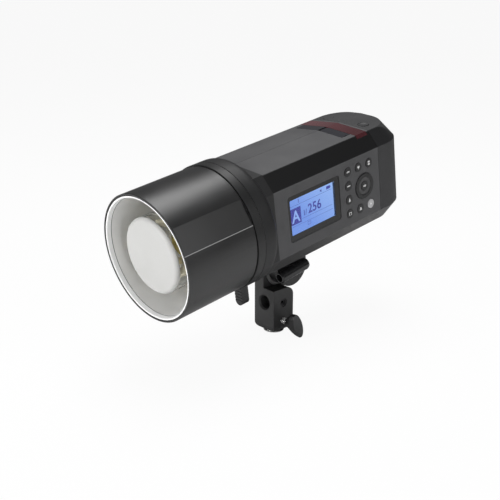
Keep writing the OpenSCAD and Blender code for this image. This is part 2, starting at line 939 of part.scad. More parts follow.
module port_flap() {
    color("#4b4850")
    in_head()
    difference() {
        union() {
            roof_piece(3.6, strip_half, strip_front, strip_rear);
            roof_piece(hinge_x, 3.8, strip_front + 2, strip_rear - 2);
            rod_y(hinge_r, strip_front + 2, strip_rear - 2, [hinge_x, hinge_z]);
        }
        rod_y(flap_pin_d / 2 + running, 0, far, [hinge_x, hinge_z]);
        // Finger notch at the free end
        box(strip_half - 1.2, strip_half + 1, 184, 190, half_h - 9, half_h + 9);
    }
}

module flap_pin() {
    color("#b0b2b4")
    in_head() rod_y(flap_pin_d / 2, strip_front + 0.2, strip_rear - 0.2, [hinge_x, hinge_z]);
}

// Socket module under the flap, with the ears of the flap's hinge
module port_block() {
    top = half_h - wall;
    color("#1c1c1f")
    in_head()
    difference() {
        union() {
            box(0.5, 40, 177, 197, 44, top);
            for (y = [strip_front + 0.3, strip_rear - 1.7])
                box(0.3, 2.9, y, y + 1.4, top - 1, hinge_z + 1.1);
        }
        rod_y(flap_pin_d / 2 + running, 0, far, [hinge_x, hinge_z]);
        // Data socket and sync jack
        box(8, 17, 185, 188.2, top - 7, top + 1);
        rod_z(1.8, top - 13, top + 1, [29, 187]);
    }
}

module sensor_board() {
    color("#1f5a38")
    in_head() {
        box(-40, 0.5, 178, 211, 52, 53.6);
        rod_z(2.5, 53.5, 57, [-18, 204]);
    }
}

// --------------------------------------------------------------- internals

module capacitors() {
    color("#30343c")
    in_head()
    for (x = [-38, -4], z = [-34, 0, 34]) rod_y(16.6, 52, main_board_y, [x, z]);
}

module main_board() {
    color("#1f5a38")
    in_head()
    intersection() {
        along_y(main_board_y, main_board_y + board_t) section(wall + loose);
        box(-far, 44, 0, far, -far, far);
    }
}

module charger_board() {
    color("#24613d")
    in_head() {
        box(17, 17 + board_t, 60, main_board_y, -42, 42);
        for (z = [-22, 22]) {
            box(17 + board_t - eps, 40, 66, 96, z - 14, z + 14);
            rod_x(9, 17 + board_t - eps, 38, [114, z]);
        }
    }
}

fan_x = -5;
fan_y = main_board_y + board_t;

module fan_frame() {
    color("#1a1a1c")
    in_head()
    union() {
        difference() {
            box(fan_x - 30, fan_x + 30, fan_y, fan_y + fan_t, -30, 30);
            rod_y(28.5, fan_y - 1, fan_y + fan_t + 1, [fan_x, 0]);
        }
        // Spider and shaft
        rod_y(9, fan_y, fan_y + 1.6, [fan_x, 0]);
        for (a = [45, 135]) translate([fan_x, 0, 0]) rotate([0, a, 0])
            box(-29.5, 29.5, fan_y, fan_y + 1.6, -1.5, 1.5);
        rod_y(2, fan_y, fan_y + 9, [fan_x, 0]);
    }
}

module fan_rotor() {
    blades = 7;
    y0 = fan_y + 2;
    color("#26262a")
    in_head()
    difference() {
        union() {
            rod_y(9.5, y0, y0 + 8.4, [fan_x, 0]);
            for (i = [0 : blades - 1])
                translate([fan_x, y0 + 4.2, 0]) rotate([0, 360 / blades * i, 0])
                    rotate([0, 0, 38]) translate([-4.6, -0.6, 8])
                        cube([9.2, 1.2, 18.5]);
        }
        rod_y(2 + running, y0 - 1, y0 + 12, [fan_x, 0]);
    }
}

// Frame at the back of the case with the sleeve that the battery slides in
module rear_frame() {
    color("#19191b")
    in_head()
    difference() {
        union() {
            intersection() {
                along_y(body_rear - frame_t, body_rear) section(wall + 0.15);
                box(-far, far, 0, far, -far, half_h - 5);
            }
            box(sleeve[0], sleeve[1], sleeve_front, body_rear, sleeve[2], sleeve[3]);
        }
        box(sleeve[0] + sleeve_t, sleeve[1] - sleeve_t, sleeve_front + sleeve_t, body_rear + 1,
            sleeve[2] + sleeve_t, sleeve[3] - sleeve_t);
        box(-20, 10, sleeve_front - 1, sleeve_front + 3, -25, -5);
        for (z = [-30, 30]) rod_x(1.5 + running, -half_w - 1, -half_w + 10, [body_rear - 2.5, z]);
    }
}

module contact_block() {
    color("#c9a85a")
    in_head()
    box(-19.8, 9.8, sleeve_front - 0.4, core_front - 0.4, -24.8, -5.2);
}

// ----------------------------------------------------------------- battery

// Battery body moved in by t: flat sides, and a roof bevel that wraps both rear corners
module battery_solid(t, front) {
    cx = half_w - battery_corner_r;
    cy = cap_rear - battery_corner_r;
    side = side_corner(t);
    low = low_corner(t);
    high = half_h + roof_crown - t;
    high_x = (chamfer_dist - t - chamfer_nz * high) / chamfer_nx;
    // Height against the distance out from the corner's axis
    wrap = [
        [0, -low[1]], [low[0] - cx, -low[1]], [side[0] - cx, -side[1]],
        [side[0] - cx, side[1]], [high_x - cx, high], [0, high]
    ];
    intersection() {
        union() {
            along_y(front, cy) section(t);
            along_x(-cx, cx) translate([cy, 0]) polygon(wrap);
            for (s = [0, 1]) mirror([s, 0, 0]) translate([cx, cy, 0]) intersection() {
                rotate_extrude() polygon(wrap);
                box(0, far, 0, far, -far, far);
            }
        }
        along_y(front, far) polygon([
            [0, high], [far, high - roof_slope * far], [far, -far], [-far, -far],
            [-far, high - roof_slope * far]
        ]);
    }
}

module battery_cap() {
    color("#333336")
    in_head()
    difference() {
        battery_solid(0, cap_front);
        battery_solid(wall, cap_front + wall);
        for (s = [-1, 1])
            rod_z(battery_button_d / 2 + 0.4, half_h - 4, far, [s * button_x, button_y]);
        for (x = light_places) rod_z(1, half_h - 4, far, [x, body_rear + 7.5]);
    }
}

light_places = [for (i = [0 : 3]) -6.5 + 8.4 * i];

module level_lights() {
    color("#3a5f48")
    in_head()
    for (x = light_places)
        rod_z(0.85, roof_z(x) - wall - 1, roof_z(x) - 0.1, [x, body_rear + 7.5]);
}

module battery_button(s) {
    top = roof_z(button_x) + 0.3;
    rod_z(battery_button_d / 2, top - wall - 3.5, top, [s * button_x, button_y]);
    rod_z(battery_button_d / 2 + 1.4, top - wall - 3.5, top - wall - 1.6,
        [s * button_x, button_y]);
}

module release_button() {
    color("#2c2c2f")
    in_head()
    difference() {
        battery_button(1);
        // Shallow thumb dish
        translate([button_x, button_y, roof_z(button_x) + 19]) sphere(r = 19.6);
    }
}

module level_button() {
    color("#2c2c2f")
    in_head() battery_button(-1);
}

module battery_core() {
    g = sleeve_t + core_gap;
    color("#1d1d20")
    in_head()
    difference() {
        box(sleeve[0] + g, sleeve[1] - g, core_front, cap_front, sleeve[2] + g, sleeve[3] - g);
        box(sleeve[0] + g + 2, sleeve[1] - g - 2, core_front + 2, cap_front + 1,
            sleeve[2] + g + 2, sleeve[3] - g - 2);
    }
}

module battery_cells() {
    pitch = cell_d + 0.4;
    x0 = sleeve[0] + sleeve_t + core_gap + 2.2 + cell_d / 2;
    z0 = sleeve[2] + sleeve_t + core_gap + 2 + cell_d / 2;
    color("#3f6fa8")
    in_head()
    for (i = [0 : 3], k = [0 : 2])
        rod_y(cell_d / 2, core_front + 2.2, cap_front - 0.2, [x0 + i * pitch, z0 + k * pitch]);
}

stand_block();
stand_bush();
rosette_washer();
tilt_bolt();
tilt_handle();
wing_screw();
wing_knob();
cross_set_screw();
tilt_mount();
mount_screws();
reflector_shell();
reflector_liner();
collar_ring();
front_housing();
release_lever();
lever_pin();
lamp_base();
glass_dome();
dome_clip_ring();
flash_tube();
tube_socket();
modelling_lamp();
heat_sink();
case_left();
case_right();
case_screws();
rear_frame();
contact_block();
display_bezel();
display_glass();
display_module();
control_board();
key_top_left();
key_top_middle();
key_top_right();
key_left_upper();
key_left_lower();
key_bottom_left();
key_bottom_middle();
test_key();
dial_ring();
set_key();
dial_encoder();
sensor_trim();
red_window();
port_flap();
flap_pin();
port_block();
sensor_board();
capacitors();
main_board();
charger_board();
fan_frame();
fan_rotor();
battery_cap();
battery_core();
battery_cells();
release_button();
level_button();
level_lights();
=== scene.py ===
import math

import bpy
import numpy as np
from mathutils import Euler, Matrix, Vector


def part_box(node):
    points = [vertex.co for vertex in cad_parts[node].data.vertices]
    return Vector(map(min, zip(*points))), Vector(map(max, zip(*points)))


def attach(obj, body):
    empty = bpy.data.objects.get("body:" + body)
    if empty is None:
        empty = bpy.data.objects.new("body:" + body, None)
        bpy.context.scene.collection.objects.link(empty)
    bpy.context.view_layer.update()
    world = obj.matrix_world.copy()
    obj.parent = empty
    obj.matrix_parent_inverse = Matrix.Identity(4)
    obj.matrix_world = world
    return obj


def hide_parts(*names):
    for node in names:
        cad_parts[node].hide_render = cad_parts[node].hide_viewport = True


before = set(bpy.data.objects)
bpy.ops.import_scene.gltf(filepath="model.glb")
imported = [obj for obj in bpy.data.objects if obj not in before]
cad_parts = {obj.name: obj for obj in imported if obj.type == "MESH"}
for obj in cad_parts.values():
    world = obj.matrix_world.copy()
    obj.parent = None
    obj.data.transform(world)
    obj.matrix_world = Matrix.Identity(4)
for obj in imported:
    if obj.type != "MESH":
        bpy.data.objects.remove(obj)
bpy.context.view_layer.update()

scene = bpy.context.scene
scene.view_settings.view_transform = "Standard"

# ---------------------------------------------------------------------------
# Camera. A short telephoto stands a little over a metre away, level with the
# top of the head, and looks down on the lamp's mouth and control panel.
# ---------------------------------------------------------------------------
camera_data = bpy.data.cameras.new("camera")
camera_data.lens = 67.6
camera_data.sensor_width = 36.0
camera_data.clip_start = 0.05
camera = bpy.data.objects.new("camera", camera_data)
scene.collection.objects.link(camera)
camera_right = Vector((0.68195, 0.73140, -0.0009))
camera_up = Vector((-0.23757, 0.22270, 0.94550))
camera_back = Vector((0.69174, -0.64457, 0.32563))
camera.matrix_world = Matrix.Translation((0.7584, -0.7465, 0.4686)) @ Matrix(
    (camera_right, camera_up, camera_back)).transposed().to_4x4()
scene.camera = camera

# ---------------------------------------------------------------------------
# Studio. A matt white floor and wide soft lights: one large softbox over the
# head, one square to the mouth, and a softbox and an upright strip on the panel side.
# ---------------------------------------------------------------------------
def nodes_of(material):
    """Empty node tree of a material, with its output, ready to be wired."""
    material.use_nodes = True
    tree = material.node_tree
    tree.nodes.clear()
    return tree, tree.nodes.new("ShaderNodeOutputMaterial")


def floor_material():
    """Pale diffuse floor. Camera and transmitted rays see it as plain white, mixed
    with the true floor so that the contact shadow stays."""
    material = bpy.data.materials.new("studio floor")
    tree, out = nodes_of(material)
    diffuse = tree.nodes.new("ShaderNodeBsdfDiffuse")
    diffuse.inputs["Color"].default_value = (0.9, 0.9, 0.9, 1)
    white = tree.nodes.new("ShaderNodeEmission")
    white.inputs["Color"].default_value = (1, 1, 1, 1)
    path = tree.nodes.new("ShaderNodeLightPath")
    seen = tree.nodes.new("ShaderNodeMath")
    seen.operation = "MULTIPLY"
    seen.inputs[1].default_value = 0.93
    any_ray = tree.nodes.new("ShaderNodeMath")
    any_ray.operation = "MAXIMUM"
    tree.links.new(path.outputs["Is Camera Ray"], any_ray.inputs[0])
    tree.links.new(path.outputs["Is Transmission Ray"], any_ray.inputs[1])
    tree.links.new(any_ray.outputs[0], seen.inputs[0])
    mix = tree.nodes.new("ShaderNodeMixShader")
    tree.links.new(seen.outputs[0], mix.inputs[0])
    tree.links.new(diffuse.outputs[0], mix.inputs[1])
    tree.links.new(white.outputs[0], mix.inputs[2])
    tree.links.new(mix.outputs[0], out.inputs["Surface"])
    return material


floor_half = 6.0
floor_mesh = bpy.data.meshes.new("floor")
floor_mesh.from_pydata(
    [(-floor_half, -floor_half, -0.0004), (floor_half, -floor_half, -0.0004),
     (floor_half, floor_half, -0.0004), (-floor_half, floor_half, -0.0004)],
    [], [(0, 1, 2, 3)])
floor_mesh.materials.append(floor_material())
floor = bpy.data.objects.new("floor", floor_mesh)
scene.collection.objects.link(floor)

world = bpy.data.worlds.new("studio")
scene.world = world
world.use_nodes = True
sky = world.node_tree
sky.nodes.clear()
sky_out = sky.nodes.new("ShaderNodeOutputWorld")
sky_light = sky.nodes.new("ShaderNodeBackground")
sky_light.inputs["Color"].default_value = (1, 1, 1, 1)
sky_light.inputs["Strength"].default_value = 0.16
sky_white = sky.nodes.new("ShaderNodeBackground")
sky_white.inputs["Color"].default_value = (1, 1, 1, 1)
sky_white.inputs["Strength"].default_value = 1.0
sky_path = sky.nodes.new("ShaderNodeLightPath")
sky_seen = sky.nodes.new("ShaderNodeMath")
sky_seen.operation = "MAXIMUM"
sky_mix = sky.nodes.new("ShaderNodeMixShader")
sky.links.new(sky_path.outputs["Is Camera Ray"], sky_seen.inputs[0])
sky.links.new(sky_path.outputs["Is Transmission Ray"], sky_seen.inputs[1])
sky.links.new(sky_seen.outputs[0], sky_mix.inputs[0])
sky.links.new(sky_light.outputs[0], sky_mix.inputs[1])
sky.links.new(sky_white.outputs[0], sky_mix.inputs[2])
sky.links.new(sky_mix.outputs[0], sky_out.inputs["Surface"])


def softbox(name, place, target, size, power):
    """Rectangular area light at a place, turned to face a target point."""
    data = bpy.data.lights.new(name, "AREA")
    data.shape = "RECTANGLE"
    data.size, data.size_y = size
    data.energy = power
    lamp = bpy.data.objects.new(name, data)
    lamp.location = place
    lamp.rotation_euler = (Vector(target) - Vector(place)).to_track_quat("-Z", "Y").to_euler()
    scene.collection.objects.link(lamp)
    return lamp


softbox("top softbox", (-0.15, 0.1, 1.35), (0, 0, 0.15), (0.7, 1.1), 13)
softbox("panel softbox", (1.35, 0.25, 0.75), (0, 0, 0.14), (0.4, 0.8), 4.5)
softbox("front softbox", (-0.35, -1.7, 0.45), (0, -0.1, 0.15), (0.8, 0.8), 21)
softbox("side strip", (1.5, -0.75, 0.12), (0, -0.05, 0.15), (0.25, 1.1), 6)

# ---------------------------------------------------------------------------
# Head frame. The head is drawn level about its own optical axis and hangs
# pitched in its bracket, so patterns on it are measured in its own axes.
# ---------------------------------------------------------------------------
head_pitch = math.radians(8)
head_turn = Euler((head_pitch, 0, 0)).to_matrix()
seam_point = Vector((0, -0.097045, 0.150007))
body_half = 0.060


def in_row(points):
    """Head points (x, y back from the reflector seam, z up), in mm, as row points in metres:
    the pitch about X applied to each point, plus the seam point."""
    turn = np.array(head_turn)
    return np.asarray(points, float) / 1000 @ turn.T + np.array(seam_point)


# ---------------------------------------------------------------------------
# Effects that many finishes share: the fine spark-eroded grain of mouldings.
# ---------------------------------------------------------------------------
def new_group(name, inputs, outputs):
    """Shader group with (name, kind, default) inputs and (name, kind) outputs."""
    tree = bpy.data.node_groups.new(name, "ShaderNodeTree")
    for label, kind, value in inputs:
        socket = tree.interface.new_socket(label, in_out="INPUT", socket_type=kind)
        if value is not None:
            socket.default_value = value
    for label, kind in outputs:
        tree.interface.new_socket(label, in_out="OUTPUT", socket_type=kind)
    return tree, tree.nodes.new("NodeGroupInput"), tree.nodes.new("NodeGroupOutput")


FLOAT, VECTOR = "NodeSocketFloat", "NodeSocketVector"

# Grain: fine noise for the pits, broad noise for slow changes in the moulding's tone
grain_tree, grain_in, grain_out = new_group(
    "moulded grain",
    [("Vector", VECTOR, None), ("Pits per metre", FLOAT, 1500.0), ("Patches per metre", FLOAT, 25.0)],
    [("Pits", FLOAT), ("Tone", FLOAT)])
pits = grain_tree.nodes.new("ShaderNodeTexNoise")
pits.inputs["Detail"].default_value = 2.0
pits.inputs["Roughness"].default_value = 0.6
patches = grain_tree.nodes.new("ShaderNodeTexNoise")
patches.inputs["Detail"].default_value = 3.0
grain_tree.links.new(grain_in.outputs["Vector"], pits.inputs["Vector"])
grain_tree.links.new(grain_in.outputs["Pits per metre"], pits.inputs["Scale"])
grain_tree.links.new(grain_in.outputs["Vector"], patches.inputs["Vector"])
grain_tree.links.new(grain_in.outputs["Patches per metre"], patches.inputs["Scale"])
tone_sum = grain_tree.nodes.new("ShaderNodeMix")
tone_sum.inputs[0].default_value = 0.35
grain_tree.links.new(patches.outputs["Fac"], tone_sum.inputs[2])
grain_tree.links.new(pits.outputs["Fac"], tone_sum.inputs[3])
grain_tree.links.new(pits.outputs["Fac"], grain_out.inputs["Pits"])
grain_tree.links.new(tone_sum.outputs[0], grain_out.inputs["Tone"])

# Band: 1 where |axis value| lies past a start, with a soft edge
band_tree, band_in, band_out = new_group(
    "past a distance",
    [("Value", FLOAT, 0.0), ("Start", FLOAT, 0.0), ("Soft", FLOAT, 0.0005)], [("Mask", FLOAT)])
size_of = band_tree.nodes.new("ShaderNodeMath")
size_of.operation = "ABSOLUTE"
beyond = band_tree.nodes.new("ShaderNodeMath")
beyond.operation = "SUBTRACT"
share = band_tree.nodes.new("ShaderNodeMath")
share.operation = "DIVIDE"
share.use_clamp = True
band_tree.links.new(band_in.outputs["Value"], size_of.inputs[0])
band_tree.links.new(size_of.outputs[0], beyond.inputs[0])
band_tree.links.new(band_in.outputs["Start"], beyond.inputs[1])
band_tree.links.new(beyond.outputs[0], share.inputs[0])
band_tree.links.new(band_in.outputs["Soft"], share.inputs[1])
band_tree.links.new(share.outputs[0], band_out.inputs["Mask"])


class Finish:
    """One Principled finish on Object coordinates, with the shared grain wired in.

    tone: colour runs from dark to light as the grain's Tone goes 0.3 to 0.7.
    rough: (low, high) roughness over the same range. pits: bump height in metres."""

    def __init__(self, name, dark, light, rough, pits_per_m=1500.0, pit_height=0.00003,
                 patches_per_m=25.0, metallic=0.0, specular=0.5, coat=0.0, coat_rough=0.1):
        self.material = bpy.data.materials.new(name)
        self.tree, out = nodes_of(self.material)
        new = self.tree.nodes.new
        self.shader = new("ShaderNodeBsdfPrincipled")
        self.shader.inputs["Metallic"].default_value = metallic
        self.shader.inputs["Specular IOR Level"].default_value = specular
        self.shader.inputs["Coat Weight"].default_value = coat
        self.shader.inputs["Coat Roughness"].default_value = coat_rough
        self.place = new("ShaderNodeTexCoord")
        self.grain = new("ShaderNodeGroup")
        self.grain.node_tree = grain_tree
        self.grain.inputs["Pits per metre"].default_value = pits_per_m
        self.grain.inputs["Patches per metre"].default_value = patches_per_m
        self.link(self.place.outputs["Object"], self.grain.inputs["Vector"])
        self.colour = new("ShaderNodeMix")
        self.colour.data_type = "RGBA"
        self.colour.inputs[6].default_value = (*dark, 1)
        self.colour.inputs[7].default_value = (*light, 1)
        ramp = self.stretch(self.grain.outputs["Tone"], 0.3, 0.7, 0.0, 1.0)
        self.link(ramp, self.colour.inputs[0])
        self.link(self.colour.outputs[2], self.shader.inputs["Base Color"])
        self.rough = self.stretch(self.grain.outputs["Tone"], 0.3, 0.7, *rough)
        self.link(self.rough, self.shader.inputs["Roughness"])
        if pit_height:
            self.bump = new("ShaderNodeBump")
            self.bump.inputs["Distance"].default_value = pit_height
            self.link(self.grain.outputs["Pits"], self.bump.inputs["Height"])
            self.link(self.bump.outputs[0], self.shader.inputs["Normal"])
        self.link(self.shader.outputs[0], out.inputs["Surface"])

    def link(self, a, b):
        self.tree.links.new(a, b)

    def stretch(self, value, low, high, to_low, to_high):
        """Value mapped from low..high to to_low..to_high, held at both ends."""
        node = self.tree.nodes.new("ShaderNodeMapRange")
        for socket, number in zip(("From Min", "From Max", "To Min", "To Max"),
                                  (low, high, to_low, to_high)):
            node.inputs[socket].default_value = number
        self.link(value, node.inputs["Value"])
        return node.outputs[0]

    def head_axes(self):
        """X, Y and Z outputs in the head's own axes: (point - seam point) turned back by the pitch."""
        turn = self.tree.nodes.new("ShaderNodeMapping")
        turn.vector_type = "POINT"
        turn.inputs["Rotation"].default_value = (-head_pitch, 0, 0)
        turn.inputs["Location"].default_value = -(head_turn.inverted() @ seam_point)
        split = self.tree.nodes.new("ShaderNodeSeparateXYZ")
        self.link(self.place.outputs["Object"], turn.inputs["Vector"])
        self.link(turn.outputs[0], split.inputs[0])
        return split.outputs

    def past(self, value, start, soft=0.0005):
        """Mask that is 1 where |value| is past start."""
        group = self.tree.nodes.new("ShaderNodeGroup")
        group.node_tree = band_tree
        group.inputs["Start"].default_value = start
        group.inputs["Soft"].default_value = soft
        self.link(value, group.inputs["Value"])
        return group.outputs[0]

    def math(self, operation, a, b):
        node = self.tree.nodes.new("ShaderNodeMath")
        node.operation = operation
        for socket, value in ((node.inputs[0], a), (node.inputs[1], b)):
            if isinstance(value, (int, float)):
                socket.default_value = value
            else:
                self.link(value, socket)
        return node.outputs[0]

    def tint(self, mask, colour):
        """Where mask is 1 the base colour becomes this colour."""
        mix = self.tree.nodes.new("ShaderNodeMix")
        mix.data_type = "RGBA"
        mix.inputs[7].default_value = (*colour, 1)
        self.link(mask, mix.inputs[0])
        self.link(self.shader.inputs["Base Color"].links[0].from_socket, mix.inputs[6])
        self.link(mix.outputs[2], self.shader.inputs["Base Color"])

    def gloss(self, mask, rough):
        """Where mask is 1 the roughness becomes this value."""
        mix = self.tree.nodes.new("ShaderNodeMix")
        mix.inputs[3].default_value = rough
        self.link(mask, mix.inputs[0])
        self.link(self.shader.inputs["Roughness"].links[0].from_socket, mix.inputs[2])
        self.link(mix.outputs[0], self.shader.inputs["Roughness"])

    def on(self, *names):
        """Puts this finish on CAD nodes."""
        for name in names:
            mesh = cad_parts[name].data
            mesh.materials.clear()
            mesh.materials.append(self.material)
        return self


# ---------------------------------------------------------------------------
# Body shells, front shoulder and battery cap. Glass-filled nylon mouldings,
# dark grey, with fine grain on the flats and a smoother black paint on the
# bevels between them; held by screws from the far side.
# ---------------------------------------------------------------------------
flat_half_x, side_half_z = 0.0452, 0.0402


def shell_finish(name, dark, light, band):
    """Grained grey moulding with the bevels between the flats masked darker and glossier:
    the bevel is where |x| is past the top flat and |z| is past the side flat."""
    shell = Finish(name, dark, light, (0.50, 0.62), pits_per_m=1500, pit_height=0.00008, specular=0.26)
    x, y, z = shell.head_axes()
    bevel = shell.math("MULTIPLY", shell.past(x, flat_half_x), shell.past(z, side_half_z))
    shell.tint(bevel, band)
    shell.gloss(bevel, 0.42)
    return shell


shell_finish("shell moulding", (0.066, 0.066, 0.069), (0.094, 0.094, 0.097),
             (0.0055, 0.0055, 0.006)).on("case_left", "case_right")
shell_finish("battery moulding", (0.038, 0.038, 0.040), (0.054, 0.054, 0.056),
             (0.012, 0.012, 0.013)).on("battery_cap")
Finish("shoulder moulding", (0.009, 0.009, 0.0095), (0.014, 0.014, 0.015), (0.40, 0.50),
       pits_per_m=1700, pit_height=0.00005, specular=0.35).on("front_housing")
Finish("collar paint", (0.008, 0.008, 0.0085), (0.012, 0.012, 0.0125), (0.34, 0.44),
       pits_per_m=2200, pit_height=0.00003, specular=0.4).on("collar_ring")
Finish("black inner moulding", (0.018, 0.018, 0.019), (0.026, 0.026, 0.028), (0.5, 0.62)).on(
    "rear_frame", "contact_block", "battery_core", "fan_frame", "fan_rotor")
Finish("screw black oxide", (0.020, 0.020, 0.022), (0.045, 0.045, 0.047), (0.28, 0.45),
       pits_per_m=4000, pit_height=0.00001, metallic=0.8).on(
    "case_screws", "mount_screws", "tilt_bolt", "cross_set_screw")

# ---------------------------------------------------------------------------
# Reflector. Spun aluminium, satin black outside over the lathe's fine rings,
# bright satin inside, with a black rim and a white band behind it; locks on by claws.
# ---------------------------------------------------------------------------
reflector_paint = Finish("reflector paint", (0.008, 0.008, 0.0085), (0.012, 0.012, 0.0125),
                         (0.30, 0.37), pits_per_m=2200, pit_height=0.00004, specular=0.6)
fx, fy, fz = reflector_paint.head_axes()
round_mouth = reflector_paint.math("ARCTAN2", fz, fx)
strip_low, strip_high, line_half = math.radians(16.7), math.radians(41.1), math.radians(0.32)


def strip_line(angle, half):
    """Mask of a thin line along the barrel, where the angle round the axis is within half of angle."""
    away = reflector_paint.math("ABSOLUTE", reflector_paint.math("SUBTRACT", round_mouth, angle), 0.0)
    barrel = reflector_paint.math("GREATER_THAN", 0.0946, reflector_paint.math("ABSOLUTE", fy, 0.0))
    line = reflector_paint.math("LESS_THAN", away, half)
    return reflector_paint.math("MULTIPLY", line, barrel)


# The strip's two edges: a painted highlight along the lower one and a painted shade line along the upper one
reflector_paint.tint(strip_line(strip_low, line_half), (0.30, 0.30, 0.30))
reflector_paint.tint(strip_line(strip_high, line_half * 1.4), (0.003, 0.003, 0.003))
reflector_paint.on("reflector_shell")

silver = Finish("reflector silver", (0.86, 0.86, 0.85), (0.93, 0.93, 0.92), (0.36, 0.44),
                pits_per_m=1800, pit_height=0.00002)
silver_share = 0.45
hx, hy, hz = silver.head_axes()
ring_r = silver.math("POWER", silver.math("ADD", silver.math("MULTIPLY", hx, hx),
                                          silver.math("MULTIPLY", hz, hz)), 0.5)
white_band = silver.past(hy, 0.0892, 0.0002)
dark_line = silver.math("SUBTRACT", silver.past(hy, 0.0886, 0.0002), white_band)
black_edge = silver.math("MULTIPLY", silver.past(ring_r, 0.0699, 0.0002), silver.past(hy, 0.0935, 0.0002))
painted = silver.math("MAXIMUM", white_band, dark_line)
silver.tint(white_band, (0.92, 0.92, 0.92))
silver.tint(dark_line, (0.03, 0.03, 0.03))
silver.tint(black_edge, (0.008, 0.008, 0.008))
silver.gloss(painted, 0.6)
bare_metal = silver.math("SUBTRACT", silver_share, silver.math("MULTIPLY", painted, silver_share))
silver.link(bare_metal, silver.shader.inputs["Metallic"])
silver.on("reflector_liner")

# ---------------------------------------------------------------------------
# Lamp. A cup of heat-proof glass over the flash tube, clipped to a white
# base plate. Its front disc is frosted inside; the wall is clear.
# ---------------------------------------------------------------------------
def plain(name, colour, rough, **extra):
    """Principled finish with every value on the shader's own sockets and no grain, for glass."""
    material = bpy.data.materials.new(name)
    tree, out = nodes_of(material)
    shader = tree.nodes.new("ShaderNodeBsdfPrincipled")
    shader.inputs["Base Color"].default_value = (*colour, 1)
    shader.inputs["Roughness"].default_value = rough
    for label, value in extra.items():
        shader.inputs[label].default_value = value
    tree.links.new(shader.outputs[0], out.inputs["Surface"])
    return material, tree, shader


dome_glass, dome_tree, dome_shader = plain(
    "dome glass", (0.98, 0.98, 0.96), 0.05, **{"Transmission Weight": 1.0, "IOR": 1.2})
wave = dome_tree.nodes.new("ShaderNodeTexNoise")
wave.inputs["Scale"].default_value = 60.0
wave_place = dome_tree.nodes.new("ShaderNodeTexCoord")
wave_bump = dome_tree.nodes.new("ShaderNodeBump")
wave_bump.inputs["Distance"].default_value = 0.0004
dome_tree.links.new(wave_place.outputs["Object"], wave.inputs["Vector"])
dome_tree.links.new(wave.outputs["Fac"], wave_bump.inputs["Height"])
dome_tree.links.new(wave_bump.outputs[0], dome_shader.inputs["Normal"])
dome_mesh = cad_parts["glass_dome"].data
dome_mesh.materials.clear()
dome_mesh.materials.append(dome_glass)


def grid_piece(name, points, finish, body, closed_u=False):
    """Mesh from a (rows, columns, 3) grid of row points, one quad between each four neighbours.
    closed_u joins the last column to the first."""
    rows, columns = points.shape[:2]
    index = np.arange(rows * columns).reshape(rows, columns)
    if closed_u:
        index = np.concatenate([index, index[:, :1]], axis=1)
    quads = np.stack([index[:-1, :-1], index[:-1, 1:], index[1:, 1:], index[1:, :-1]], -1)
    mesh = bpy.data.meshes.new(name)
    mesh.from_pydata(points.reshape(-1, 3).tolist(), [], quads.reshape(-1, 4).tolist())
    mesh.polygons.foreach_set("use_smooth", np.ones(len(mesh.polygons), bool))
    mesh.materials.append(finish)
    mesh.update()
    piece = bpy.data.objects.new(name, mesh)
    scene.collection.objects.link(piece)
    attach(piece, body)
    return piece


def turned_piece(name, profile, finish, body, sides=96):
    """Profile of (radius, y) head points in mm turned round the optical axis:
    x = radius sin a, z = radius cos a."""
    profile = np.asarray(profile, float)
    angle = np.linspace(0, 2 * np.pi, sides, endpoint=False)
    radius, y = profile[:, :1], profile[:, 1:]
    points = np.stack([radius * np.sin(angle), y + 0 * angle, radius * np.cos(angle)], -1)
    return grid_piece(name, in_row(points), finish, body, True)


dome_front = -94.8 + 6.5
frost = Finish("dome frost", (0.50, 0.50, 0.487), (0.55, 0.55, 0.54), (0.45, 0.55),
               pits_per_m=900, pit_height=0.00001, specular=0.4)
frost_flat, edge_r, frost_skin = 38.5, 5.0, 0.1
bend = np.linspace(0, np.pi / 2, 9)
outer_skin = np.column_stack([frost_flat + (edge_r + frost_skin) * np.sin(bend),
                              dome_front + edge_r - (edge_r + frost_skin) * np.cos(bend)])
inner_skin = np.column_stack([frost_flat + (edge_r + 0.02) * np.sin(bend[::-1]),
                              dome_front + edge_r - (edge_r + 0.02) * np.cos(bend[::-1])])
turned_piece("dome_frosted_face", np.vstack([
    [(0.02, dome_front - frost_skin), (20, dome_front - frost_skin)], outer_skin,
    inner_skin, [(20, dome_front - 0.02), (0.02, dome_front - 0.02)]]),
    frost.material, "head")

Finish("lamp base enamel", (0.66, 0.65, 0.61), (0.76, 0.75, 0.71), (0.4, 0.5)).on("lamp_base", "tube_socket")
Finish("bright clip steel", (0.66, 0.65, 0.60), (0.80, 0.79, 0.74), (0.14, 0.26), metallic=1.0,
       pit_height=0).on("dome_clip_ring")
Finish("flash tube glass", (0.86, 0.78, 0.55), (0.95, 0.89, 0.70), (0.08, 0.14), pit_height=0,
       coat=0.6).on("flash_tube")
Finish("modelling lamp phosphor", (0.80, 0.62, 0.14), (0.88, 0.72, 0.22), (0.4, 0.5)).on("modelling_lamp")

# ---------------------------------------------------------------------------
# Control panel. Glossy black bezel round a backlit display, under a clear
# window; its figures are drawn in dark blue segments on light blue.
# ---------------------------------------------------------------------------
Finish("bezel gloss", (0.0065, 0.0065, 0.007), (0.0085, 0.0085, 0.009), (0.22, 0.28), pit_height=0,
       specular=0.45).on("display_bezel")
window_glass, _, _ = plain("display window", (1, 1, 1), 0.03,
                           **{"Transmission Weight": 1.0, "IOR": 1.12})
window_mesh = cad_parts["display_glass"].data
window_mesh.materials.clear()
window_mesh.materials.append(window_glass)

